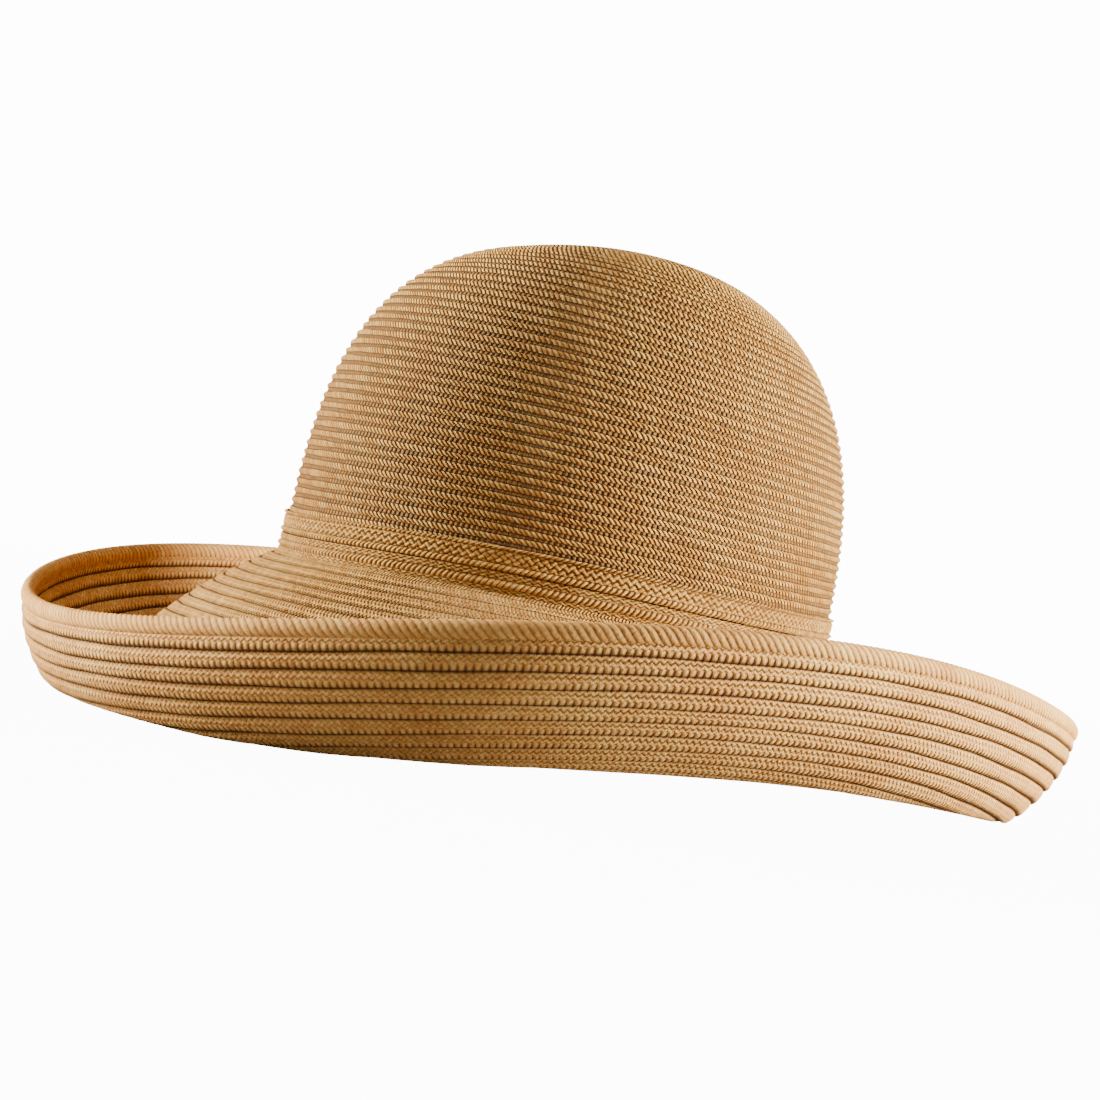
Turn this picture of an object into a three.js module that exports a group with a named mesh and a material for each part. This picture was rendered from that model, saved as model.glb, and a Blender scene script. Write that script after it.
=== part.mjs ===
// A kettle brim sun hat, sewn course over course from one long straw braid.
// Millimetres, +Z up. The hat stands on the fold of its brim at z = 0, its front looks
// along -Y, and angles run from the front towards +X.
import * as THREE from 'three';
import { mergeVertices } from 'three/addons/utils/BufferGeometryUtils.js';

// Driving dimensions
const strawThickness = 2;
const crownLength = 198;
const crownWidth = 168;
const crownHeight = 122;
const crownLean = 6;
const footHeight = 55;
const foldReach = 67;
const foldLift = 10;
const restingDip = 1;
const restingFlat = 4;
const rimReach = 96;
const rimHeight = 45;
const lowerBandWidth = 4.4;
const upperBandWidth = 7.8;
const bandThickness = 2;
const bandSwell = 0.4;
const seamGap = 0.3;
const rimEdgeWidth = 3.8;
const rimEdgeHeight = 4;

// Angles in degrees: the skirt's fall at the crown, and the wall's turn inwards at its top
const skirtFall = 28;
const wallTurnIn = 5;

// Powers that set how full the crown's sides and shoulder are
const crownSidePower = 2.9;
const crownTopPower = 3.1;
const crownWavePower = 1.6;

// How far each part of the brim's section keeps its first and last direction, as shares
// of its own reach or height
const skirtStart = 0.52;
const skirtEnd = 0.18;
const wallStart = 0.2;
const wallEnd = 0.42;

// One row for each eighth of a turn. The values are shares of the named sizes:
// foot of footHeight, crest of crownHeight, fold of foldReach, lift of foldLift,
// rim of rimReach and rise of rimHeight.
const stations = [
  { at: 'front', foot: 1.06, crest: 0.98, fold: 1.05, lift: 0, rim: 0.89, rise: 0.67 },
  { at: 'front, +X side', foot: 1.07, crest: 1.04, fold: 0.98, lift: 0.32, rim: 1.06, rise: 0.94 },
  { at: '+X side', foot: 1.01, crest: 1.05, fold: 0.89, lift: 1.35, rim: 1.07, rise: 1.35 },
  { at: 'back, +X side', foot: 0.93, crest: 0.94, fold: 0.99, lift: 0.8, rim: 0.95, rise: 1.07 },
  { at: 'back', foot: 0.92, crest: 0.85, fold: 1.08, lift: 0, rim: 0.97, rise: 0.77 },
  { at: 'back, -X side', foot: 0.93, crest: 0.94, fold: 0.99, lift: 0.9, rim: 0.97, rise: 1.06 },
  { at: '-X side', foot: 1.01, crest: 1.05, fold: 0.89, lift: 1.3, rim: 1.06, rise: 1.16 },
  { at: 'front, -X side', foot: 1.07, crest: 1.04, fold: 0.98, lift: 0.5, rim: 0.99, rise: 0.97 },
];

// How finely the bodies are divided
const segmentsAround = 72;
const crownRows = 12;
const skirtRows = 6;
const wallRows = 9;
const rimEdgeSides = 6;

// The step along the brim's section that its direction is measured over, and how short of
// the fold's flat strip the skirt stops
const directionStep = 0.004;
const foldMargin = 1e-6;

const strawRoughness = 0.8;
const crownColor = 0xc79a62;
const bandColor = 0xb98a54;
const brimColor = 0xb88850;
const edgeColor = 0xc1925a;

// A column's value at any angle: the smooth wave that passes through all its rows.
function around(column, angle) {
  const step = 2 * Math.PI / stations.length;
  let sum = 0;
  stations.forEach((station, row) => {
    const turn = angle - row * step;
    const isAtRow = Math.abs(Math.sin(turn / 2)) < Number.EPSILON * stations.length;
    const weight = isAtRow
      ? 1
      : Math.sin(stations.length * turn / 2) / (stations.length * Math.tan(turn / 2));
    sum += station[column] * weight;
  });
  return sum;
}

// A point at a distance outside the head oval, in plan, and at a height.
function outsideOval(angle, reach, height) {
  const halfLength = crownLength / 2;
  const halfWidth = crownWidth / 2;
  const normal = new THREE.Vector2(Math.sin(angle) / halfWidth, -Math.cos(angle) / halfLength);
  normal.normalize();
  return new THREE.Vector3(
    halfWidth * Math.sin(angle) + reach * normal.x,
    -halfLength * Math.cos(angle) + reach * normal.y,
    height,
  );
}

// The crown's outside at a share of its height, moved in by a depth.
function crownPoint(share, angle, depth) {
  const taper = (1 - share ** crownSidePower) ** (1 / crownTopPower);
  const foot = footHeight * around('foot', angle);
  const crest = crownHeight * (around('crest', angle) - 1);
  const wave = (1 - share) * (foot - footHeight) + share * crest;
  return new THREE.Vector3(
    (crownWidth / 2 - depth) * taper * Math.sin(angle),
    crownLean * share - (crownLength / 2 - depth) * taper * Math.cos(angle),
    footHeight + (crownHeight - depth) * share + wave * taper ** crownWavePower,
  );
}

// The brim's outer line in one section: reach outside the oval and height, from the foot
// (walk 0) down the skirt to the fold (walk 1) and up the wall to its top (walk 2).
function brimLine(walk, angle) {
  const fall = THREE.MathUtils.degToRad(skirtFall);
  const turnIn = THREE.MathUtils.degToRad(wallTurnIn);
  const foot = footHeight * around('foot', angle) - seamGap - strawThickness / Math.cos(fall);
  const fold = foldReach * around('fold', angle);
  const lift = Math.max(0, foldLift * around('lift', angle) - restingDip);
  const rim = rimReach * around('rim', angle);
  const top = rimHeight * around('rise', angle) - rimEdgeHeight;
  const bend = wallEnd * (top - lift);
  const inner = fold - restingFlat / 2;
  const outer = fold + restingFlat / 2;
  const skirt = new THREE.CubicBezierCurve(
    new THREE.Vector2(-strawThickness, foot),
    new THREE.Vector2(skirtStart * fold, foot - skirtStart * fold * Math.tan(fall)),
    new THREE.Vector2((1 - skirtEnd) * fold, lift),
    new THREE.Vector2(inner, lift),
  );
  const wall = new THREE.CubicBezierCurve(
    new THREE.Vector2(outer, lift),
    new THREE.Vector2(outer + wallStart * (rim - outer), lift),
    new THREE.Vector2(rim + bend * Math.tan(turnIn), top - bend),
    new THREE.Vector2(rim, top),
  );
  return walk < 1 ? skirt.getPoint(walk) : wall.getPoint(walk - 1);
}

// The brim at a walk along its section, moved from its outer face inwards by a depth.
function brimPoint(walk, angle, depth) {
  const here = brimLine(walk, angle);
  const start = walk < 1 ? 0 : 1;
  const end = walk < 1 ? 1 - foldMargin : 2;
  const before = brimLine(Math.max(walk - directionStep, start), angle);
  const after = brimLine(Math.min(walk + directionStep, end), angle);
  const along = after.sub(before).normalize();
  return outsideOval(angle, here.x - depth * along.y, here.y + depth * along.x);
}

// A closed body turned round the hat: one row for each point of its section, and place
// says where a row's point lies at an angle.
function turnedBody(name, rows, place, material) {
  const profile = rows.map((row) => {
    const point = place(row, 0);
    return new THREE.Vector2(Math.hypot(point.x, point.y), point.z);
  });
  const geometry = new THREE.LatheGeometry(profile, segmentsAround);
  const position = geometry.attributes.position;
  for (let vertex = 0; vertex < position.count; vertex += 1) {
    const turn = Math.floor(vertex / rows.length) % segmentsAround;
    const angle = 2 * Math.PI * turn / segmentsAround;
    const point = place(rows[vertex % rows.length], angle);
    position.setXYZ(vertex, point.x, point.y, point.z);
  }
  geometry.deleteAttribute('uv');
  geometry.deleteAttribute('normal');
  const merged = mergeVertices(geometry);
  merged.computeVertexNormals();
  const mesh = new THREE.Mesh(merged, material);
  mesh.name = name;
  return mesh;
}

// Shares of the crown's height that space its rows evenly over the dome, foot to top.
function crownShares() {
  const shares = [];
  for (let row = 0; row <= crownRows; row += 1) {
    shares.push(Math.sin(Math.PI / 2 * row / crownRows) ** (2 / crownSidePower));
  }
  return shares;
}

function makeCrown() {
  const shares = crownShares();
  const outside = shares.map((share) => ({ share, depth: 0 }));
  const inside = shares.map((share) => ({ share, depth: strawThickness }));
  const rows = [...inside.reverse(), ...outside];
  const place = (row, angle) => crownPoint(row.share, angle, row.depth);
  return turnedBody('crown', rows, place, strawMaterial(crownColor));
}

// A braid sewn round the crown's foot, from one height above the foot to another.
function makeBand(name, bottom, top, color) {
  const low = bottom / crownHeight;
  const high = top / crownHeight;
  const out = -(seamGap + bandThickness);
  const rows = [
    { share: low, depth: -seamGap },
    { share: low, depth: out },
    { share: (low + high) / 2, depth: out - bandSwell },
    { share: high, depth: out },
    { share: high, depth: -seamGap },
    { share: low, depth: -seamGap },
  ];
  const place = (row, angle) => crownPoint(row.share, angle, row.depth);
  return turnedBody(name, rows, place, strawMaterial(color));
}

function makeBrim() {
  const walks = [];
  for (let row = 0; row <= skirtRows; row += 1) {
    walks.push(Math.min(row / skirtRows, 1 - foldMargin));
  }
  for (let row = 0; row <= wallRows; row += 1) {
    walks.push(1 + row / wallRows);
  }
  const outside = walks.map((walk) => ({ walk, depth: 0 }));
  const inside = walks.map((walk) => ({ walk, depth: strawThickness }));
  const rows = [...outside, ...inside.reverse(), outside[0]];
  const place = (row, angle) => brimPoint(row.walk, angle, row.depth);
  return turnedBody('brim', rows, place, strawMaterial(brimColor));
}

// The rolled course along the wall's top, an oval rope.
function makeRimEdge() {
  const rows = [];
  for (let side = 0; side <= rimEdgeSides; side += 1) {
    rows.push({ turn: 2 * Math.PI * (side % rimEdgeSides) / rimEdgeSides });
  }
  const place = (row, angle) => {
    const top = brimLine(2, angle);
    const reach = top.x - strawThickness / 2 + rimEdgeWidth / 2 * Math.cos(row.turn);
    const height = top.y + seamGap + rimEdgeHeight / 2 * (1 + Math.sin(row.turn));
    return outsideOval(angle, reach, height);
  };
  return turnedBody('rim_edge', rows, place, strawMaterial(edgeColor));
}

function strawMaterial(color) {
  return new THREE.MeshStandardMaterial({ color, roughness: strawRoughness, metalness: 0 });
}

const bandStep = lowerBandWidth + seamGap;
const group = new THREE.Group();
group.add(
  makeCrown(),
  makeBand('band_lower', 0, lowerBandWidth, bandColor),
  makeBand('band_upper', bandStep, bandStep + upperBandWidth, bandColor),
  makeBrim(),
  makeRimEdge(),
);

// The origin is the middle of the hat's outline, on the surface that it stands on.
const bounds = new THREE.Box3().setFromObject(group);
const middle = bounds.getCenter(new THREE.Vector3());
group.position.set(-middle.x, -middle.y, -bounds.min.z);

export default group;
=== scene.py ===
# %% [markdown]
# A sun hat is one long straw braid, sewn course over course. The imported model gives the
# hat's exact shape, so this lesson dresses each of its five parts in braid: it lays a grid
# over the same surface, raises a ridge for each course, and lets the material draw the
# strands. Lengths of the hat are in millimetres until a piece is finished.

# %% Load the frame
import math

import bmesh
import bpy
import numpy as np
from mathutils import Matrix, Vector


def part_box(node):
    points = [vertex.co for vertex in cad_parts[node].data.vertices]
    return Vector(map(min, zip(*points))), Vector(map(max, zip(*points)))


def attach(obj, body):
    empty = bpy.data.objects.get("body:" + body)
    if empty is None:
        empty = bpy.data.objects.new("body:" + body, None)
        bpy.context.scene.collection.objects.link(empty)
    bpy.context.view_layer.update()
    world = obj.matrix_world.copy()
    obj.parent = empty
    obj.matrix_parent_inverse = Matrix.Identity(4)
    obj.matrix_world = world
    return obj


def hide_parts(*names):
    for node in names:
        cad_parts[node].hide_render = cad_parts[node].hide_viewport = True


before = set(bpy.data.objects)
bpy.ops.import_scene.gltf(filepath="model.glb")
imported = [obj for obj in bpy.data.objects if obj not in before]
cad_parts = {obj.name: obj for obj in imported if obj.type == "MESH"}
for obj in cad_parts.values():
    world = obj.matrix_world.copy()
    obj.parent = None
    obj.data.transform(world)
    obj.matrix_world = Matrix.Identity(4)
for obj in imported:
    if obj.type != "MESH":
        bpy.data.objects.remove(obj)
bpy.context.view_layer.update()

print("hat nodes:", sorted(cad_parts))

# %% [markdown]
# The hat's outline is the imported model's own: an oval head opening, a wavy foot line, and a
# brim whose section changes from station to station. The sizes are named once, and the
# stations hold shares of them, one value for each eighth of a turn from the front.

# %% The hat's named sizes
MM = 0.001
STRAW_THICKNESS = 2.0
CROWN_LENGTH = 198.0
CROWN_WIDTH = 168.0
CROWN_HEIGHT = 122.0
CROWN_LEAN = 6.0
FOOT_HEIGHT = 55.0
FOLD_REACH = 67.0
FOLD_LIFT = 10.0
RESTING_DIP = 1.0
RESTING_FLAT = 4.0
RIM_REACH = 96.0
RIM_HEIGHT = 45.0
RIM_EDGE_HEIGHT = 4.0
LOWER_BAND = 4.4
UPPER_BAND = 7.8
SEAM_GAP = 0.3
SKIRT_FALL = math.radians(28)
WALL_TURN_IN = math.radians(5)
CROWN_SIDE_POWER = 2.9
CROWN_TOP_POWER = 3.1
CROWN_WAVE_POWER = 1.6
SKIRT_START, SKIRT_END = 0.52, 0.18
WALL_START, WALL_END = 0.2, 0.42

STATIONS = {
    "foot": (1.06, 1.07, 1.01, 0.93, 0.92, 0.93, 1.01, 1.07),
    "crest": (0.98, 1.04, 1.05, 0.94, 0.85, 0.94, 1.05, 1.04),
    "fold": (1.05, 0.98, 0.89, 0.99, 1.08, 0.99, 0.89, 0.98),
    "lift": (0.0, 0.32, 1.35, 0.8, 0.0, 0.9, 1.3, 0.5),
    "rim": (0.89, 1.06, 1.07, 0.95, 0.97, 0.97, 1.06, 0.99),
    "rise": (0.67, 0.94, 1.35, 1.07, 0.77, 1.06, 1.16, 0.97),
}

# %% [markdown]
# The frame's origin is the middle of the hat's outline, while the surfaces below are worked
# out from the middle of the head oval. The crown's own box says how far apart the two are,
# which is safer than a number copied by hand.

# %% Where the head oval's middle lies
crown_low, crown_high = (np.array(corner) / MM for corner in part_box("crown"))
OVAL_MIDDLE = np.array([
    (crown_low[0] + crown_high[0]) / 2,
    crown_low[1] + CROWN_LENGTH / 2,
    0.0,
])
print("head oval's middle, mm:", OVAL_MIDDLE.round(2))

# %% [markdown]
# Each surface is a small function from a place on the braid to a point. numpy works on all
# points of a grid at once, which keeps a grid of many thousand points quick. The crown is an
# oval dome whose foot and crest rise and fall round the hat, and the wave passes smoothly
# through the stations.

# %% The wave and the crown's surface
ANGLE_TOLERANCE = 1e-9


def around(column, angle):
    """A column's value at any angle: the smooth wave through all its stations."""
    values = STATIONS[column]
    total = np.zeros_like(angle)
    for row, value in enumerate(values):
        turn = angle - row * 2 * np.pi / len(values)
        half = np.tan(turn / 2)
        at_row = np.abs(np.sin(turn / 2)) < ANGLE_TOLERANCE
        weight = np.sin(len(values) * turn / 2) / (len(values) * np.where(at_row, 1, half))
        total = total + value * np.where(at_row, 1, weight)
    return total


def crown_taper(share):
    """How far the dome has drawn in at a share of its height."""
    return np.clip(1 - np.maximum(share, 0) ** CROWN_SIDE_POWER, 0, 1) ** (1 / CROWN_TOP_POWER)


def crown_surface(share, angle, out):
    """A point of the crown, moved out from its outer face."""
    taper = crown_taper(share)
    foot = FOOT_HEIGHT * around("foot", angle)
    crest = CROWN_HEIGHT * (around("crest", angle) - 1)
    wave = (1 - share) * (foot - FOOT_HEIGHT) + share * crest
    return np.stack([
        (CROWN_WIDTH / 2 + out) * taper * np.sin(angle),
        CROWN_LEAN * share - (CROWN_LENGTH / 2 + out) * taper * np.cos(angle),
        FOOT_HEIGHT + (CROWN_HEIGHT + out) * share + wave * taper ** CROWN_WAVE_POWER,
    ], axis=-1)


quarter_turns = np.arange(4) * np.pi / 2
foot_heights = FOOT_HEIGHT * around("foot", quarter_turns)
print("crown's foot at each quarter turn, mm:", foot_heights.round(1))


# %% [markdown]
# A walk along the brim's section runs from the foot of the crown (0) down the skirt to the
# fold (1) and up the wall to its top (2). The last bit of the skirt's walk crosses the flat
# strip that the hat stands on. Skirt and wall are Bezier curves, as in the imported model.

# %% The brim's section
FLAT_WALK = 0.02


def bezier(points, t):
    a, b, c, d = points
    return (1 - t) ** 3 * a + 3 * (1 - t) ** 2 * t * b + 3 * (1 - t) * t ** 2 * c + t ** 3 * d


def brim_line(walk, angle):
    """The reach outside the head oval, and the height, at a walk along the section."""
    foot = FOOT_HEIGHT * around("foot", angle) - SEAM_GAP - STRAW_THICKNESS / math.cos(SKIRT_FALL)
    fold = FOLD_REACH * around("fold", angle)
    lift = np.maximum(0, FOLD_LIFT * around("lift", angle) - RESTING_DIP)
    rim = RIM_REACH * around("rim", angle)
    top = RIM_HEIGHT * around("rise", angle) - RIM_EDGE_HEIGHT
    bend = WALL_END * (top - lift)
    inner, outer = fold - RESTING_FLAT / 2, fold + RESTING_FLAT / 2
    on_skirt = walk < 1
    t = np.where(on_skirt, np.minimum(walk / (1 - FLAT_WALK), 1), walk - 1)
    strip = np.clip((walk - 1) / FLAT_WALK + 1, 0, 1) * RESTING_FLAT
    skirt_reach = strip + bezier(
        (-STRAW_THICKNESS, SKIRT_START * fold, (1 - SKIRT_END) * fold, inner), t)
    skirt_height = bezier(
        (foot, foot - SKIRT_START * fold * math.tan(SKIRT_FALL), lift, lift), t)
    wall_reach = bezier(
        (outer, outer + WALL_START * (rim - outer), rim + bend * math.tan(WALL_TURN_IN), rim), t)
    wall_height = bezier((lift, lift, top - bend, top), t)
    return (np.where(on_skirt, skirt_reach, wall_reach),
            np.where(on_skirt, skirt_height, wall_height))


wall_tops = brim_line(np.full(4, 2.0), quarter_turns)[1]
print("wall's top at each quarter turn, mm:", wall_tops.round(1))

# %% [markdown]
# The section is carried round the head oval, always square to the oval's edge. The straw's
# inner face lies square to the section's own line, whose direction is measured over a short
# step, because that is simpler than a formula for each of the two curves.

# %% The brim's surface
DIRECTION_STEP = 0.004


def outside_oval(angle, reach, height):
    across, along = np.sin(angle) / (CROWN_WIDTH / 2), -np.cos(angle) / (CROWN_LENGTH / 2)
    size = np.hypot(across, along)
    return np.stack([
        CROWN_WIDTH / 2 * np.sin(angle) + reach * across / size,
        -CROWN_LENGTH / 2 * np.cos(angle) + reach * along / size,
        height,
    ], axis=-1)


def brim_surface(walk, angle, inward):
    """A point of the brim, moved inward from its outer face."""
    start = np.where(walk < 1, 0.0, 1.0)
    reach, height = brim_line(walk, angle)
    before = brim_line(np.maximum(walk - DIRECTION_STEP, start), angle)
    after = brim_line(np.minimum(walk + DIRECTION_STEP, start + 1), angle)
    run, rise = after[0] - before[0], after[1] - before[1]
    size = np.hypot(run, rise)
    return outside_oval(angle, reach - inward * rise / size, height + inward * run / size)


fold_line = brim_surface(np.ones(4), quarter_turns, 0.0)
print("fold's height at each quarter turn, mm:", fold_line[:, 2].round(1))


# %% [markdown]
# A braided surface starts as a flat bmesh grid, whose two directions are the way along the
# braid and the way across its courses. The grid could be wrapped by a lattice or a curve
# modifier, but the wave of this brim needs an exact place for each vertex, so a function
# moves them. The braid's own coordinates go into a UV map called Braid: u counts strands
# along a course, v counts courses.

# %% Wrap a grid
COURSE_TOLERANCE = 1e-6


def wrapped_grid(name, columns, rows, place, strands, finish_of):
    shape = bmesh.new()
    bmesh.ops.create_grid(shape, x_segments=columns, y_segments=rows, size=0.5)
    mesh = bpy.data.meshes.new(name)
    shape.to_mesh(mesh)
    shape.free()
    flat = np.empty(len(mesh.vertices) * 3)
    mesh.vertices.foreach_get("co", flat)
    turn = np.round((flat[0::3] + 0.5) * columns) / columns
    row = np.round((flat[1::3] + 0.5) * rows)
    points, course = place(turn * 2 * np.pi, row)
    mesh.vertices.foreach_set("co", ((points + OVAL_MIDDLE) * MM).ravel())
    corner = np.empty(len(mesh.loops), dtype=int)
    mesh.loops.foreach_get("vertex_index", corner)
    corner = corner.reshape(-1, 4)
    across = course[corner]
    number = np.floor(across.mean(axis=1) + COURSE_TOLERANCE)
    along = turn[corner] * strands(number)[:, None]
    uv = mesh.uv_layers.new(name="Braid")
    uv.data.foreach_set("uv", np.stack([along, across], axis=-1).ravel())
    mesh.polygons.foreach_set("material_index", finish_of(number).astype(np.int32))
    return mesh


# %% [markdown]
# The two ends of the wrapped grid meet, so the seam and the pole are welded and the normals
# are turned outwards. Then the piece rides on the hat's one body and replaces its solid there.

# %% Weld a piece and hand it over
WELD = 2e-6


def only_finish(number):
    return np.zeros_like(number)


def braided_piece(name, node, columns, rows, place, strands, finish_of=only_finish):
    mesh = wrapped_grid(name, columns, rows, place, strands, finish_of)
    shape = bmesh.new()
    shape.from_mesh(mesh)
    bmesh.ops.remove_doubles(shape, verts=shape.verts, dist=WELD)
    bmesh.ops.recalc_face_normals(shape, faces=shape.faces)
    for face in shape.faces:
        face.smooth = True
    shape.to_mesh(mesh)
    open_edges = sum(1 for edge in shape.edges if len(edge.link_faces) != 2)
    triangles = sum(len(face.verts) - 2 for face in shape.faces)
    shape.free()
    piece = bpy.data.objects.new(name, mesh)
    bpy.context.scene.collection.objects.link(piece)
    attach(piece, "root")
    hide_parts(node)
    print(name, "triangles:", triangles, "open edges:", open_edges)
    return piece


# %% [markdown]
# No course on a hand-sewn hat is quite even. A displacement texture could roughen the
# mesh, but it knows nothing of the courses, so the courses themselves are moved, by a few
# waves that close on themselves after a full turn. A profile, in millimetres, says how high
# the straw stands at even steps across one course.

# %% The relief and the wander of a course
# Columns: waves round the hat, turn for each course, start, share of the size
WANDER = ((3, 1.7, 0, 1.0), (7, -2.3, 1, 1.0), (17, 4.1, 2, 0.7), (31, 5.9, 0, 0.5))


def course_wander(course, angle, size):
    """How far a course strays from its even place, as a share of its width."""
    return size * sum(share * np.sin(waves * angle + turn * course + start)
                      for waves, turn, start, share in WANDER)


def course_relief(course, profile):
    share = (course % 1) * len(profile)
    low = np.floor(share).astype(int) % len(profile)
    high = (low + 1) % len(profile)
    blend = share - np.floor(share)
    return np.array(profile)[low] * (1 - blend) + np.array(profile)[high] * blend


def edge_fade(course, courses):
    """Nothing at the first and last edge, all of it from half a course in."""
    return np.clip(np.minimum(course * 2, (courses - course) * 2), 0, 1)


# %% [markdown]
# On the real crown each course shows about 3.2 mm: a rope-like ridge, over a shallow groove
# where the next course is sewn under it. The braid runs as a spiral from the middle of the
# top. That middle lies a little behind the crown's own, because the courses tip down towards
# the back, and they don't follow the wave of the crest. So the even courses of a dome are
# measured first, along one line between its front and its side, and then shifted.

# %% Where the crown's courses run
CROWN_COURSES = 56
POLE_SET_BACK = 0.095
DOME_POINTS = 4001
DOME_ANGLE = 0.7

dome_shares = 1 - (1 - np.linspace(0, 1, DOME_POINTS)) ** 3
dome_line = crown_surface(dome_shares, np.full_like(dome_shares, DOME_ANGLE), 0.0)
dome_walk = np.concatenate([[0], np.cumsum(np.linalg.norm(np.diff(dome_line, axis=0), axis=1))])
dome_rise = np.gradient(dome_line[:, 2], dome_walk)
print("crown course, mm:", round(dome_walk[-1] / CROWN_COURSES, 2))


def crown_course_place(course, angle):
    """The share of the crown's height, and the angle, where a course runs."""
    out = course / CROWN_COURSES
    across = out * np.sin(angle)
    along = -out * np.cos(angle) + (1 - out) * POLE_SET_BACK
    out, angle = np.hypot(across, along), np.arctan2(across, -along)
    walk = (1 - out) * dome_walk[-1]
    share = np.interp(walk, dome_walk, dome_shares)
    crest = CROWN_HEIGHT * (around("crest", angle) - 1)
    wave = share * crest * crown_taper(share) ** CROWN_WAVE_POWER
    walk = walk - wave * np.interp(walk, dome_walk, dome_rise)
    return np.interp(np.clip(walk, 0, dome_walk[-1]), dome_walk, dome_shares), angle


# %% [markdown]
# Each turn of the spiral ends one course further out than it starts, so the grid's left and
# right edges meet when one is shifted by a course. The inside shows the same courses more
# faintly, and both faces are rows of one grid, so the shell is closed. The strands of a
# course are counted with the mean radius of its oval.

# %% The crown's braid
CROWN_ROWS = 6
INSIDE_ROWS = 2
CROWN_COLUMNS = 208
CROWN_STRAND = 1.75
MEAN_OVER_SIDE_RADIUS = 1.08
FEWEST_STRANDS = 3
CROWN_WANDER = 0.035
INSIDE_RELIEF = 0.3
RIDGE_PROFILE = (0.1, 0.66, 0.72, 0.4, -0.2, -0.05)


def crown_grid(angle, row):
    outer_rows = (CROWN_COURSES + 1) * CROWN_ROWS
    outside = row <= outer_rows
    spiral = row / CROWN_ROWS + angle / (2 * np.pi) - 1
    back = CROWN_COURSES - (row - outer_rows - 1) / INSIDE_ROWS
    course = np.clip(np.where(outside, spiral, back), 0, CROWN_COURSES)
    fade = edge_fade(course, CROWN_COURSES)
    relief = course_relief(course, RIDGE_PROFILE)
    out = np.where(outside, relief, -STRAW_THICKNESS - INSIDE_RELIEF * relief) * fade
    out = np.where((~outside) & (fade < 1), -STRAW_THICKNESS, out)
    strayed = course + course_wander(course, angle, CROWN_WANDER) * fade
    share, angle = crown_course_place(strayed, angle)
    return crown_surface(share, angle, out), course


def crown_strands(number):
    side = np.full_like(number, np.pi / 2)
    share, _ = crown_course_place(number + 0.5, side)
    side_radius = crown_surface(share, side, 0.0)[:, 0]
    count = np.round(2 * np.pi * side_radius * MEAN_OVER_SIDE_RADIUS / CROWN_STRAND)
    return np.maximum(FEWEST_STRANDS, count)


crown_rows = (CROWN_COURSES + 1) * CROWN_ROWS + 1 + CROWN_COURSES * INSIDE_ROWS
crown = braided_piece("crown_braid", "crown", CROWN_COLUMNS, crown_rows,
                      crown_grid, crown_strands)

# %% [markdown]
# The brim's courses run from the foot of the crown over the skirt, round the fold and up
# the wall. Their number is the same all round, so each column of the grid measures its own
# section and divides it. On the wall a course is counted more by its rise than by its run,
# because the real courses look equally wide from the side, down to the fold.

# %% Where the brim's courses run
BRIM_COURSES = 26
WALL_RUN_SHARE = 0.5
SKIRT_RUN_SHARE = 1.2
SECTION_POINTS = 601

section_walk = np.linspace(0, 2, SECTION_POINTS)


def section_lengths(angle):
    reach, height = brim_line(section_walk, np.full_like(section_walk, angle))
    run = np.diff(reach) * np.where(section_walk[1:] > 1, WALL_RUN_SHARE, SKIRT_RUN_SHARE)
    return np.concatenate([[0], np.cumsum(np.hypot(run, np.diff(height)))])


def brim_walk(course, angle):
    length = section_lengths(angle)
    return np.interp(course * length[-1] / BRIM_COURSES, length, section_walk)


for degrees in (0, 90, 180, 270):
    pitch = section_lengths(math.radians(degrees))[-1] / BRIM_COURSES
    print("brim course at", degrees, "degrees, mm:", round(pitch, 2))

# %% [markdown]
# A wall course is a flat braid with a deep groove along one edge, where the next one is sewn
# to it. The skirt's courses lie flatter, and the fold stays smooth where the hat stands on
# it. The braid could be a strip that a curve carries round, but then each course would need
# joining to the next. Here one grid runs over the outer face, back over the inner one, and
# ends where it began, so the shell is closed too.

# %% The brim's braid
WALL_COURSES = 11
BRIM_ROWS = 6
BRIM_COLUMNS = 280
BRIM_STRAND = 2.0
BRIM_RADIUS = 165
BRIM_WANDER = 0.03
SKIRT_RELIEF = 0.5
FOLD_BLEND = (0.9, 1.1)
STANDING_HEIGHT, STANDING_BLEND = 0.1, 1.5
WALL_PROFILE = (-0.45, 0.05, 0.2, 0.3, 0.42, 0.3)


def brim_grid(angle, row):
    face_rows = BRIM_COURSES * BRIM_ROWS
    below = row <= face_rows
    course = np.where(below, row, 2 * face_rows + 1 - row) / BRIM_ROWS
    course = np.clip(course, 0, BRIM_COURSES)
    held = np.clip(np.minimum(course, BRIM_COURSES - course), 0, 1)
    strayed = course + course_wander(course, angle, BRIM_WANDER) * held
    walk = np.empty_like(course)
    for turn in np.unique(angle):
        column = angle == turn
        walk[column] = brim_walk(strayed[column], turn)
    relief = course_relief(BRIM_COURSES - course, WALL_PROFILE) * edge_fade(course, BRIM_COURSES)
    relief = relief * np.interp(walk, FOLD_BLEND, (SKIRT_RELIEF, 1.0))
    height = brim_surface(walk, angle, 0.0)[:, 2]
    clear = np.clip((height - STANDING_HEIGHT) / STANDING_BLEND, 0, 1)
    inward = np.where(below, -relief * clear, STRAW_THICKNESS + relief)
    closing = row == 2 * face_rows + 2
    walk = np.where(closing, 0.0, walk)
    inward = np.where(closing, 0.0, inward)
    return brim_surface(walk, angle, inward), BRIM_COURSES - course


def brim_strands(number):
    return np.full_like(number, round(2 * np.pi * BRIM_RADIUS / BRIM_STRAND))


def brim_finish(number):
    """The wall's straw first, then the skirt's, then the crown's on the course at the foot, whose
    heavier painted shade stands for the shade under the band.
    """
    return np.digitize(number, (WALL_COURSES, BRIM_COURSES - 1))


brim = braided_piece("brim_braid", "brim", BRIM_COLUMNS,
                     2 * BRIM_COURSES * BRIM_ROWS + 2, brim_grid, brim_strands, brim_finish)

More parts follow.
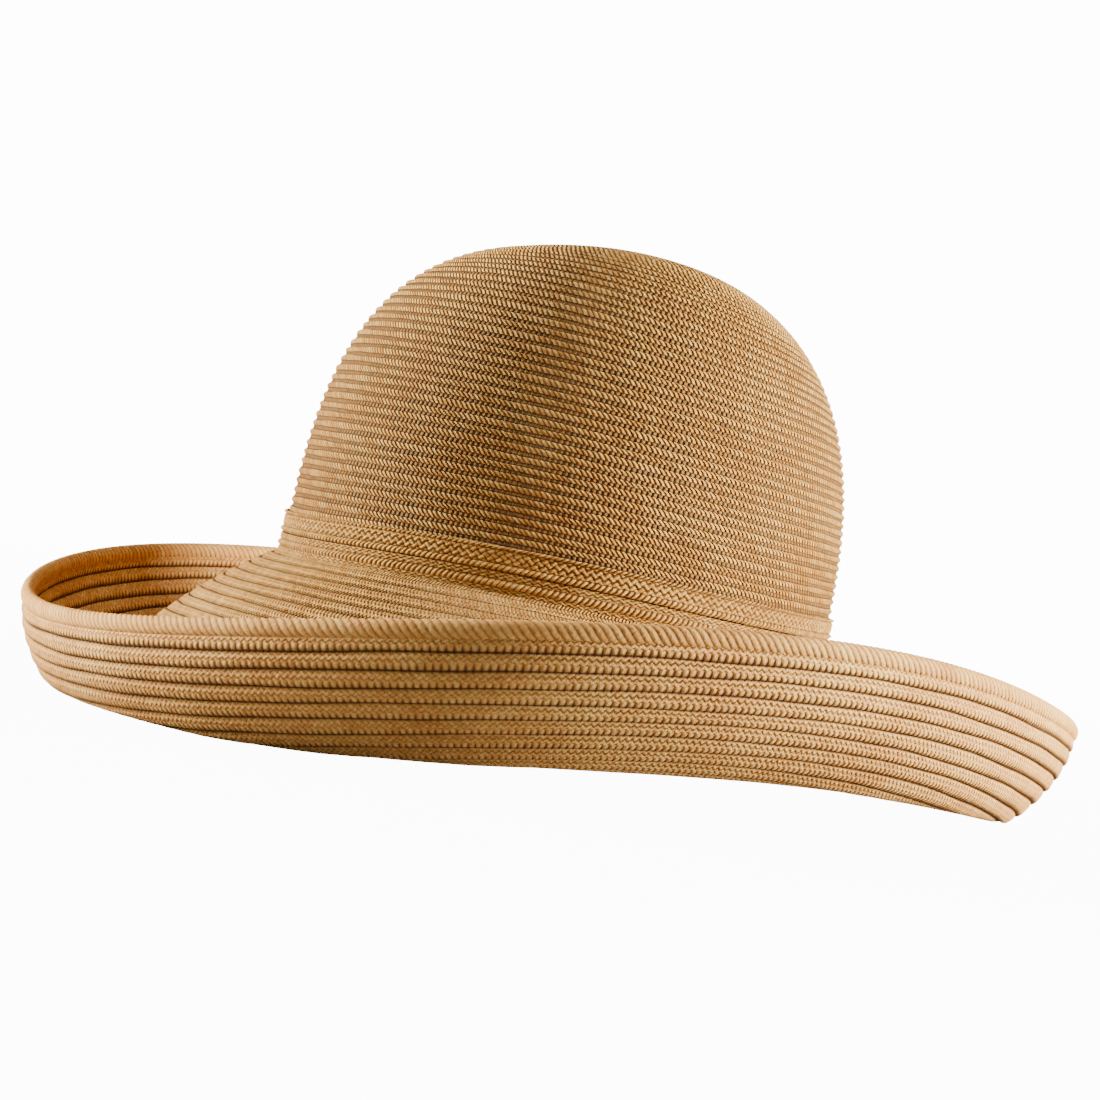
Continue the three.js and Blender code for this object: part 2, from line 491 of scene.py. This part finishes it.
# %% [markdown]
# Two braids go round the crown's foot. The upper one is woven between two twisted ropes, and
# the lower one is a rope between two woven strips. Their strands are wide enough to see one
# by one, so the grid is fine enough to raise them. The heights are worked out here, and the
# shades by the same rules in nodes further down.

# %% The strands of a band
ROPE_STRANDS = 320
WOVEN_STRANDS = 208
BAND_COLUMNS = ROPE_STRANDS * 4
COURSE_SHIFT = 0.37
ROPE_SLANT = -0.9
WEAVE_SLANT = 2.0
BAND_BASE = 0.15
ROPE_ARCH, ROPE_STRAND_RISE = 0.75, 0.3
WOVEN_ARCH, WOVEN_STRAND_RISE = 0.1, 0.45
WOVEN_EDGE = 3


def rope_height(along, inside):
    strand = np.abs(np.sin(np.pi * (along + inside * ROPE_SLANT)))
    return BAND_BASE + np.sin(np.pi * inside) * (ROPE_ARCH + ROPE_STRAND_RISE * strand)


def woven_height(along, inside):
    first, second = along + inside * WEAVE_SLANT, along - inside * WEAVE_SLANT
    first_on_top = (np.floor(first) + np.floor(second)) % 2 == 0
    strand = np.abs(np.sin(np.pi * np.where(first_on_top, first, second)))
    arch = np.clip(np.sin(np.pi * inside) * WOVEN_EDGE, 0, 1)
    return BAND_BASE + arch * (WOVEN_ARCH + WOVEN_STRAND_RISE * strand)


around_foot = math.pi * (CROWN_LENGTH + CROWN_WIDTH) / 2
print("rope strand, mm:", round(around_foot / ROPE_STRANDS, 2),
      "woven strand, mm:", round(around_foot / WOVEN_STRANDS, 2))

# %% [markdown]
# A band is a low ring: one row at its foot, its outer face, and a back that closes it against
# the crown. Its zones are given from the bottom up, as the share of the height where each
# ends, its rows, and whether it is a rope. The lower band also covers the line where the
# skirt is sewn on, and is a little taller than its solid, to narrow the gap above it.

# %% The bands' braids
BAND_REST = 1.1
SKIRT_COVER = 2.5
GAP_TRIM = 0.1


def band_piece(name, node, bottom, top, zones):
    ends = np.array([0.0] + [end for end, _, _ in zones])
    row_ends = np.cumsum([0] + [rows for _, rows, _ in zones])
    ropes = np.array([rope for _, _, rope in zones])
    rows = row_ends[-1]

    def zone_of(course):
        return np.clip(np.floor(course).astype(int), 0, len(zones) - 1)

    def place(angle, row):
        course = np.interp(np.clip(row - 1, 0, rows), row_ends, np.arange(len(row_ends)))
        zone = zone_of(course)
        strands = np.where(ropes[zone], ROPE_STRANDS, WOVEN_STRANDS)
        along = angle / (2 * np.pi) * strands + zone * COURSE_SHIFT
        raised = np.where(ropes[zone], rope_height(along, course - zone),
                          woven_height(along, course - zone))
        heights = bottom + (top - bottom) * ends
        share = np.interp(course, np.arange(len(ends)), heights) / CROWN_HEIGHT
        share = np.where(row == rows + 3, bottom / CROWN_HEIGHT, share)
        front = (row >= 1) & (row <= rows + 1)
        out = np.where(front, BAND_REST + raised, SEAM_GAP)
        return crown_surface(share, angle, out), course

    def strands_of(number):
        return np.where(ropes[zone_of(number)], ROPE_STRANDS, WOVEN_STRANDS).astype(float)

    def band_finish(number):
        """The rope's straw first, then the woven straw."""
        return np.where(ropes[zone_of(number)], 0, 1)

    return braided_piece(name, node, BAND_COLUMNS, rows + 3, place, strands_of,
                         band_finish)


band_step = LOWER_BAND + SEAM_GAP
band_lower = band_piece("band_lower_braid", "band_lower", -SKIRT_COVER, LOWER_BAND + GAP_TRIM,
                        ((0.3, 5, False), (0.66, 7, True), (1.0, 6, False)))
band_upper = band_piece("band_upper_braid", "band_upper", band_step, band_step + UPPER_BAND,
                        ((0.28, 7, True), (0.84, 13, False), (1.0, 5, True)))

# %% [markdown]
# The last course is rolled over the wall's top, and its strands wrap round it at a slant
# like a rope. It is the outline that the eye follows, so its strands are raised too. It laps
# a little over the wall's top, so that no light shows between them.

# %% The rolled rim
RIM_STRANDS = 460
RIM_COLUMNS = RIM_STRANDS * 4
RIM_SIDES = 12
RIM_SLANT = 5.0
RIM_HALF_WIDTH = 2.3
RIM_HALF_HEIGHT = 2.9
RIM_SINK = 0.8
RIM_STRAND_RISE = 0.06
RIM_STRAND_POWER = 0.7


def rim_grid(angle, row):
    side = -np.pi / 2 - (row % RIM_SIDES) / RIM_SIDES * 2 * np.pi
    wall_reach, wall_top = brim_line(np.full_like(angle, 2.0), angle)
    strand = (angle / (2 * np.pi) * RIM_STRANDS - RIM_SLANT * row / RIM_SIDES) % 1
    swell = 1 + RIM_STRAND_RISE * (np.sin(np.pi * strand) ** RIM_STRAND_POWER - 0.5)
    reach = wall_reach - STRAW_THICKNESS / 2 + RIM_HALF_WIDTH * np.cos(side) * swell
    middle = wall_top + SEAM_GAP + RIM_EDGE_HEIGHT / 2 - RIM_SINK
    height = middle + RIM_HALF_HEIGHT * np.sin(side) * swell
    return outside_oval(angle, reach, height), row / RIM_SIDES


def rim_strands(number):
    return np.full_like(number, RIM_STRANDS)


rim = braided_piece("rim_edge_braid", "rim_edge", RIM_COLUMNS, RIM_SIDES,
                    rim_grid, rim_strands)

# %% [markdown]
# All five pieces share one effect, so it is a shader node group: it reads the Braid map and
# gives the height of each strand, a random number for each strand, and a mask of painted
# shade in the gaps, grooves and seams. It is built from many Math nodes, and a small helper
# adds and joins them, which reads like plain arithmetic.

# %% A helper that wires nodes
def wire(tree):
    def math_node(operation, *values, clamp=False):
        node = tree.nodes.new("ShaderNodeMath")
        node.operation = operation
        node.use_clamp = clamp
        for socket, value in zip(node.inputs, values):
            if isinstance(value, (int, float)):
                socket.default_value = value
            else:
                tree.links.new(value, socket)
        return node.outputs[0]
    return math_node


# %% [markdown]
# A course has two parts. The first share of its width is the ridge, whose strands lie at a
# slant, or cross over and under each other where they are woven. The strand on top is found
# as on a chessboard, from whether the sum of the two strand numbers is even.

# %% The group's ridge
RIDGE_GAP_POWER = 1.25


def ridge_nodes(m, along, place, given):
    in_ridge = m("DIVIDE", place, given["Ridge share"], clamp=True)
    shift = m("MULTIPLY", in_ridge, given["Slant"])
    first, second = m("ADD", along, shift), m("SUBTRACT", along, shift)
    sum_of_both = m("ADD", m("FLOOR", first), m("FLOOR", second))
    second_on_top = m("MULTIPLY", m("FLOORED_MODULO", sum_of_both, 2), given["Weave"])
    phase = m("ADD", m("MULTIPLY", second, second_on_top),
              m("MULTIPLY", first, m("SUBTRACT", 1, second_on_top)))
    strand = m("FLOOR", phase)
    bulge = m("SINE", m("MULTIPLY", m("SUBTRACT", phase, strand), math.pi))
    # Painted shade between the ridge's strands.
    shade_mask = m("MULTIPLY", m("POWER", m("SUBTRACT", 1, bulge), RIDGE_GAP_POWER),
            given["Ridge depth"])
    rise = m("ADD", 0.5, m("MULTIPLY", m("MULTIPLY", bulge, 0.5), given["Ridge depth"]))
    number = m("ADD", strand, m("MULTIPLY", second_on_top, 0.5))
    return rise, shade_mask, number


# %% [markdown]
# The rest of the width is the row under the ridge. On the crown it shows rounded loops. On
# the brim, with no roundness, it shows teeth whose gaps widen towards the seam. Both are
# cut off by painted shade along the seam, and a painted shadow of the crown's ridge lies as
# a dark line on its loops.

# %% The group's row and grooves
LOOP_SHIFT = 0.25
TOOTH_SPREAD = 0.35
TOOTH_END_POWER = 3
LOOP_GAP_POWER, LOOP_GAP_REACH = 1.5, 1.2
TUCK_SHARE = 0.8
UNDER_SHIFT, UNDER_WIDTH = 0.04, 0.07


def row_nodes(m, along, place, given):
    in_row = m("DIVIDE", m("SUBTRACT", place, given["Ridge share"]),
               m("SUBTRACT", 1, given["Ridge share"]), clamp=True)
    side = m("SINE", m("MULTIPLY", m("FRACT", m("ADD", along, LOOP_SHIFT)), math.pi))
    apart = m("MAXIMUM", given["Roundness"], m("POWER", in_row, TOOTH_SPREAD))
    side = m("SUBTRACT", 1, m("MULTIPLY", m("SUBTRACT", 1, side), apart))
    round_rise = m("MULTIPLY", m("SINE", m("MULTIPLY", in_row, math.pi)), given["Roundness"])
    tooth_rise = m("MULTIPLY", m("SUBTRACT", 1, m("POWER", in_row, TOOTH_END_POWER)),
                   m("SUBTRACT", 1, given["Roundness"]))
    loop = m("MULTIPLY", side, m("ADD", round_rise, tooth_rise))
    # Painted shade between the loops or teeth.
    shade_mask = m("SUBTRACT", 1, m("MULTIPLY", m("POWER", loop, LOOP_GAP_POWER), LOOP_GAP_REACH),
            clamp=True)
    return m("MULTIPLY", loop, 0.5), shade_mask


def groove_nodes(m, place, given):
    # The seam mask sinks the height and paints shade along the seam at both edges of a course; the
    # under mask is a painted shadow under the crown's ridge.
    lower = m("DIVIDE", m("SUBTRACT", 1, place), given["Seam width"])
    upper = m("DIVIDE", place, m("MULTIPLY", given["Seam width"], TUCK_SHARE))
    seam = m("MAXIMUM", m("SUBTRACT", 1, lower, clamp=True), m("SUBTRACT", 1, upper, clamp=True))
    under = m("ABSOLUTE", m("SUBTRACT", place, m("ADD", given["Ridge share"], UNDER_SHIFT)))
    under = m("SUBTRACT", 1, m("DIVIDE", under, UNDER_WIDTH), clamp=True)
    return seam, m("MULTIPLY", under, given["Roundness"])


# %% [markdown]
# The group joins these parts. The random number of a strand comes from its own number and
# its course's, so it stays the same all along the strand. The loops under the crown's ridges
# lie deeper, so painted shade darkens them too, a little differently from loop to loop.

# %% The plaited strands group
GROUP_INPUTS = {
    "Slant": 1.0,
    "Weave": 0.0,
    "Ridge share": 0.5,
    "Ridge depth": 1.0,
    "Roundness": 1.0,
    "Seam width": 0.08,
}
GROUP_OUTPUTS = ("Height", "Strand number", "Painted shade mask")
SEAM_SINK = 0.3
LOOP_SHADE, LOOP_SHADE_SPREAD = 0.48, 0.4


def braid_place(tree, m):
    """The course's number, and the place along and across it."""
    braid = tree.nodes.new("ShaderNodeUVMap")
    braid.uv_map = "Braid"
    split = tree.nodes.new("ShaderNodeSeparateXYZ")
    tree.links.new(braid.outputs["UV"], split.inputs[0])
    course = m("FLOOR", split.outputs[1])
    along = m("ADD", split.outputs[0], m("MULTIPLY", course, COURSE_SHIFT))
    return course, along, m("SUBTRACT", split.outputs[1], course)


def number_noise(tree, number, course):
    key = tree.nodes.new("ShaderNodeCombineXYZ")
    tree.links.new(number, key.inputs[0])
    tree.links.new(course, key.inputs[1])
    noise = tree.nodes.new("ShaderNodeTexWhiteNoise")
    noise.noise_dimensions = "2D"
    tree.links.new(key.outputs[0], noise.inputs["Vector"])
    return noise.outputs["Value"]


def plait_group():
    tree = bpy.data.node_groups.new("Plaited strands", "ShaderNodeTree")
    for name, value in GROUP_INPUTS.items():
        socket = tree.interface.new_socket(name, in_out="INPUT", socket_type="NodeSocketFloat")
        socket.default_value = value
    for name in GROUP_OUTPUTS:
        tree.interface.new_socket(name, in_out="OUTPUT", socket_type="NodeSocketFloat")
    m = wire(tree)
    given = tree.nodes.new("NodeGroupInput").outputs
    course, along, place = braid_place(tree, m)
    ridge_rise, ridge_shade, number = ridge_nodes(m, along, place, given)
    row_rise, row_shade = row_nodes(m, along, place, given)
    seam, under = groove_nodes(m, place, given)

    on_row = m("GREATER_THAN", place, given["Ridge share"])
    on_ridge = m("SUBTRACT", 1, on_row)
    height = m("ADD", m("MULTIPLY", ridge_rise, on_ridge), m("MULTIPLY", row_rise, on_row))
    height = m("SUBTRACT", height, m("MULTIPLY", seam, SEAM_SINK))
    random = number_noise(tree, m("ADD", number, on_row), course)
    # Painted shade on the recessed loops under the crown's ridge, a little different for each
    # loop.
    loop_shade = m("ADD", LOOP_SHADE, m("MULTIPLY", random, LOOP_SHADE_SPREAD))
    loop_shade = m("MULTIPLY", m("MULTIPLY", loop_shade, on_row), given["Roundness"])
    # The painted shade mask: gaps between strands, loops and teeth, the seam, the ridge's shadow
    # and the recessed loops.
    shade_mask = m("ADD", m("MULTIPLY", ridge_shade, on_ridge), m("MULTIPLY", row_shade, on_row))
    for darkness in (seam, under, loop_shade):
        shade_mask = m("MAXIMUM", shade_mask, darkness)

    done = tree.nodes.new("NodeGroupOutput").inputs
    for name, value in zip(GROUP_OUTPUTS, (height, random, shade_mask)):
        tree.links.new(value, done[name])
    return tree


plait = plait_group()
print("shader group:", plait.name, "nodes:", len(plait.nodes))

# %% [markdown]
# Straw is a mix of pale and reddish strands. A painted picture could show them, but a colour
# ramp stays sharp at any distance: it turns each strand's number into a shade between these.
# A slow noise on Object coordinates keeps large areas uneven, a fine one makes specks of
# fibre, and painted shade darkens the grooves and gaps.

# %% Noise, shades and gaps
SLOW_SCALE = 28.0
SLOW_DETAIL = 2.0
SLOW_SHARE = 0.4
FIBRE_SCALE = 900.0
FIBRE_DETAIL = 3.0
FIBRE_SHARE = 0.6
FIBRE_RISE = 0.35
SHADE_PLACES = (0.12, 0.45, 0.85)
# The brown of the painted shade in gaps, grooves and seams.
PAINTED_SHADE_BROWN = (0.045, 0.013, 0.002)


def noise_node(tree, scale, detail):
    noise = tree.nodes.new("ShaderNodeTexNoise")
    noise.inputs["Scale"].default_value = scale
    noise.inputs["Detail"].default_value = detail
    place = tree.nodes.new("ShaderNodeTexCoord").outputs["Object"]
    tree.links.new(place, noise.inputs["Vector"])
    return noise.outputs["Fac"]


def shade_ramp(tree, pick, shades):
    ramp = tree.nodes.new("ShaderNodeValToRGB")
    elements = ramp.color_ramp.elements
    elements.new(SHADE_PLACES[1])
    for element, place, shade in zip(elements, SHADE_PLACES, shades):
        element.position, element.color = place, (*shade, 1)
    tree.links.new(pick, ramp.inputs["Fac"])
    return ramp.outputs["Color"]


# Mixes painted shade into a colour.
def darken(tree, colour, amount):
    mix = tree.nodes.new("ShaderNodeMix")
    mix.data_type = "RGBA"
    mix.inputs["B"].default_value = (*PAINTED_SHADE_BROWN, 1)
    tree.links.new(amount, mix.inputs["Factor"])
    tree.links.new(colour, mix.inputs["A"])
    return mix.outputs["Result"]


# %% [markdown]
# The hat's six straws differ only in a few numbers, so one function makes them all. The
# strands of crown and brim are finer than a grid can follow, so here they become a bump on
# ridges that are real geometry. The Principled shader stays in each material, with its
# roughness and specular level set on its own sockets.

# %% Make a straw material
STRAW_ROUGHNESS = 0.78
STRAW_SPECULAR = 0.12


def straw_material(name, shades, plait_values, mottle, shade_strength, bump):
    material = bpy.data.materials.new(name)
    material.use_nodes = True
    tree = material.node_tree
    m = wire(tree)
    shader = tree.nodes["Principled BSDF"]
    shader.inputs["Roughness"].default_value = STRAW_ROUGHNESS
    shader.inputs["Specular IOR Level"].default_value = STRAW_SPECULAR
    group = tree.nodes.new("ShaderNodeGroup")
    group.node_tree = plait
    for socket, value in zip(GROUP_INPUTS, plait_values):
        group.inputs[socket].default_value = value
    slow = noise_node(tree, SLOW_SCALE, SLOW_DETAIL)
    fibre = noise_node(tree, FIBRE_SCALE, FIBRE_DETAIL)
    pick = m("ADD", m("MULTIPLY", m("SUBTRACT", group.outputs["Strand number"], 0.5), mottle),
             m("MULTIPLY", slow, SLOW_SHARE))
    pick = m("ADD", pick, m("MULTIPLY", fibre, FIBRE_SHARE))
    # How strongly the painted shade darkens the straw.
    dark = m("MULTIPLY", group.outputs["Painted shade mask"], shade_strength, clamp=True)
    tree.links.new(darken(tree, shade_ramp(tree, pick, shades), dark), shader.inputs["Base Color"])
    relief = tree.nodes.new("ShaderNodeBump")
    relief.inputs["Strength"].default_value = 1.0
    relief.inputs["Distance"].default_value = bump * MM
    height = m("ADD", group.outputs["Height"], m("MULTIPLY", fibre, FIBRE_RISE))
    tree.links.new(height, relief.inputs["Height"])
    tree.links.new(relief.outputs["Normal"], shader.inputs["Normal"])
    return material


# %% [markdown]
# The crown's straw has strong ropes over loops darkened by painted shade, the wall's is a flat
# weave with teeth, and the skirt's is a weave between thinner seams. The bands are of a darker
# straw. Each row below gives the shades, then the group's values in the order of its inputs,
# then the spread of the strands' shades, the strength of the painted shade in gaps and
# grooves, and the height of the bump in millimetres.

# %% The straws
CROWN_SHADES = ((0.34, 0.12, 0.018), (0.62, 0.295, 0.055), (0.9, 0.54, 0.15))
BRIM_SHADES = ((0.4, 0.15, 0.03), (0.68, 0.315, 0.075), (0.95, 0.59, 0.165))
BAND_SHADES = ((0.28, 0.105, 0.018), (0.5, 0.245, 0.05), (0.78, 0.47, 0.13))

STRAWS = {
    "crown straw": (CROWN_SHADES, (-1.2, 0.0, 0.57, 1.0, 1.0, 0.05), 0.3, 0.97, 1.5),
    "brim straw": (BRIM_SHADES, (1.6, 1.0, 0.52, 0.55, 0.0, 0.14), 0.2, 0.97, 1.3),
    "skirt straw": (CROWN_SHADES, (1.2, 1.0, 0.6, 1.0, 0.3, 0.09), 0.3, 0.97, 1.4),
    "rope straw": (BAND_SHADES, (ROPE_SLANT, 0.0, 1.0, 0.9, 1.0, 0.08), 0.25, 0.95, 0.8),
    "woven straw": (BAND_SHADES, (WEAVE_SLANT, 1.0, 1.0, 1.0, 1.0, 0.05), 0.25, 0.97, 0.8),
    "rim straw": (BRIM_SHADES, (-RIM_SLANT, 0.0, 1.0, 0.6, 0.0, 0.04), 0.14, 0.9, 0.8),
}
straws = {name: straw_material(name, *values) for name, values in STRAWS.items()}


def dress(piece, *names):
    for name in names:
        piece.data.materials.append(straws[name])
    print(piece.name, "wears", names)


dress(crown, "crown straw")
dress(brim, "brim straw", "skirt straw", "crown straw")
dress(band_lower, "rope straw", "woven straw")
dress(band_upper, "rope straw", "woven straw")
dress(rim, "rim straw")

# %% [markdown]
# The photograph looks at the hat from its left front side, almost level with the brim, and
# is tilted a little, so the camera is turned about its own line of sight as well.

# %% The camera
AZIMUTH = math.radians(69.2)
ELEVATION = math.radians(1.3)
ROLL = math.radians(9.15)
DISTANCE = 948.0
TARGET_ASIDE = -4.67
TARGET_ABOVE_FOOT = 16.4
LENS = 87.2
SENSOR = 36.0
CLIP_END = 100.0

towards = Vector((math.sin(AZIMUTH) * math.cos(ELEVATION),
                  -math.cos(AZIMUTH) * math.cos(ELEVATION), math.sin(ELEVATION)))
level_right = Vector((math.cos(AZIMUTH), math.sin(AZIMUTH), 0.0))
level_up = towards.cross(level_right)
right = level_right * math.cos(ROLL) + level_up * math.sin(ROLL)
up = towards.cross(right)
target = Vector((0, 0, FOOT_HEIGHT + TARGET_ABOVE_FOOT)) + Vector(OVAL_MIDDLE)
target += right * TARGET_ASIDE
camera = bpy.data.objects.new("camera", bpy.data.cameras.new("camera"))
camera.data.lens = LENS
camera.data.sensor_width = SENSOR
camera.data.clip_end = CLIP_END
camera.matrix_world = Matrix.Translation((target + towards * DISTANCE) * MM) @ Matrix(
    (right, up, towards)).transposed().to_4x4()
bpy.context.scene.collection.objects.link(camera)
bpy.context.scene.camera = camera
print("camera height, mm:", round(camera.location.z / MM, 1))

# %% [markdown]
# The light is soft and comes from both sides, from a little above the hat, so its flanks are
# bright and the side towards the camera is darker. Large area lights give this. The right
# one stands slightly nearer the camera than the hat and the left one slightly further away,
# a weak one lights the top, and a faint one in front fills the shade. From here on, lengths
# are in metres.

# %% The lights
LIGHT_AIM = Vector((0, 0, 0.09))

# Columns: metres to the side, towards the camera and up, diameter, and power
SOFTBOXES = {
    "right softbox": (1.15, 0.16, 0.24, 0.45, 72.0),
    "left softbox": (-1.15, -0.06, 0.3, 0.8, 66.0),
    "top softbox": (0.0, -0.1, 1.4, 0.8, 7.0),
    "front fill": (0.0, 1.6, 1.3, 0.8, 1.5),
}
level_towards = Vector((math.sin(AZIMUTH), -math.cos(AZIMUTH), 0.0))

for name, (aside, forward, height, size, power) in SOFTBOXES.items():
    light = bpy.data.lights.new(name, "AREA")
    light.shape = "DISK"
    light.size = size
    light.energy = power
    lamp = bpy.data.objects.new(name, light)
    bpy.context.scene.collection.objects.link(lamp)
    lamp.location = level_right * aside + level_towards * forward + Vector((0, 0, height))
    lamp.rotation_euler = (LIGHT_AIM - lamp.location).to_track_quat("-Z", "Y").to_euler()
print("lights:", sorted(SOFTBOXES))

# %% [markdown]
# The floor is a wide grey disc. A white one would throw light up under the brim, where the
# photographed hat gets little. So the pale look is a glow that only the camera sees: the Light
# Path node tells the camera's view from light that bounces. The hat's shadow stays very
# faint on it.

# %% The floor
FLOOR_RADIUS = 20.0
FLOOR_SEGMENTS = 96
FLOOR_GREY = (0.26, 0.24, 0.22, 1)
FLOOR_ROUGHNESS = 0.9
FLOOR_PALE = 12.0
BACKDROP_START, BACKDROP_BLEND = 0.2, 0.9
WHITE = 14.0
STUDIO = 0.11

shape = bmesh.new()
bmesh.ops.create_circle(shape, cap_ends=True, segments=FLOOR_SEGMENTS, radius=FLOOR_RADIUS)
floor_mesh = bpy.data.meshes.new("floor")
shape.to_mesh(floor_mesh)
shape.free()
floor = bpy.data.objects.new("floor", floor_mesh)
bpy.context.scene.collection.objects.link(floor)


def backdrop_strength(tree, m):
    seen = tree.nodes.new("ShaderNodeLightPath").outputs["Is Camera Ray"]
    return seen, m("ADD", STUDIO, m("MULTIPLY", seen, WHITE))


print("floor radius, m:", FLOOR_RADIUS)

# %% [markdown]
# Away from the hat the floor goes over into the backdrop's own white, so no horizon cuts the
# picture. The same strength goes to the world behind it, and the blend between the two looks
# follows the distance from the hat.

# %% The floor's and the backdrop's materials
pale = bpy.data.materials.new("pale floor")
pale.use_nodes = True
tree = pale.node_tree
m = wire(tree)
matt = tree.nodes["Principled BSDF"]
matt.inputs["Base Color"].default_value = FLOOR_GREY
matt.inputs["Roughness"].default_value = FLOOR_ROUGHNESS
distance = tree.nodes.new("ShaderNodeVectorMath")
distance.operation = "LENGTH"
tree.links.new(tree.nodes.new("ShaderNodeTexCoord").outputs["Object"], distance.inputs[0])
away = m("DIVIDE", m("SUBTRACT", distance.outputs["Value"], BACKDROP_START), BACKDROP_BLEND,
         clamp=True)
seen, strength = backdrop_strength(tree, m)
backdrop = tree.nodes.new("ShaderNodeEmission")
tree.links.new(strength, backdrop.inputs["Strength"])
paleness = tree.nodes.new("ShaderNodeEmission")
tree.links.new(m("MULTIPLY", seen, FLOOR_PALE), paleness.inputs["Strength"])
near = tree.nodes.new("ShaderNodeAddShader")
tree.links.new(matt.outputs[0], near.inputs[0])
tree.links.new(paleness.outputs[0], near.inputs[1])
blend = tree.nodes.new("ShaderNodeMixShader")
tree.links.new(away, blend.inputs["Fac"])
tree.links.new(near.outputs[0], blend.inputs[1])
tree.links.new(backdrop.outputs[0], blend.inputs[2])
tree.links.new(blend.outputs[0], tree.nodes["Material Output"].inputs["Surface"])
floor_mesh.materials.append(pale)

world = bpy.data.worlds.new("white studio")
bpy.context.scene.world = world
world.use_nodes = True
tree = world.node_tree
background = tree.nodes["Background"]
background.inputs["Color"].default_value = (1, 1, 1, 1)
_, strength = backdrop_strength(tree, wire(tree))
tree.links.new(strength, background.inputs["Strength"])
print("floor and backdrop done")
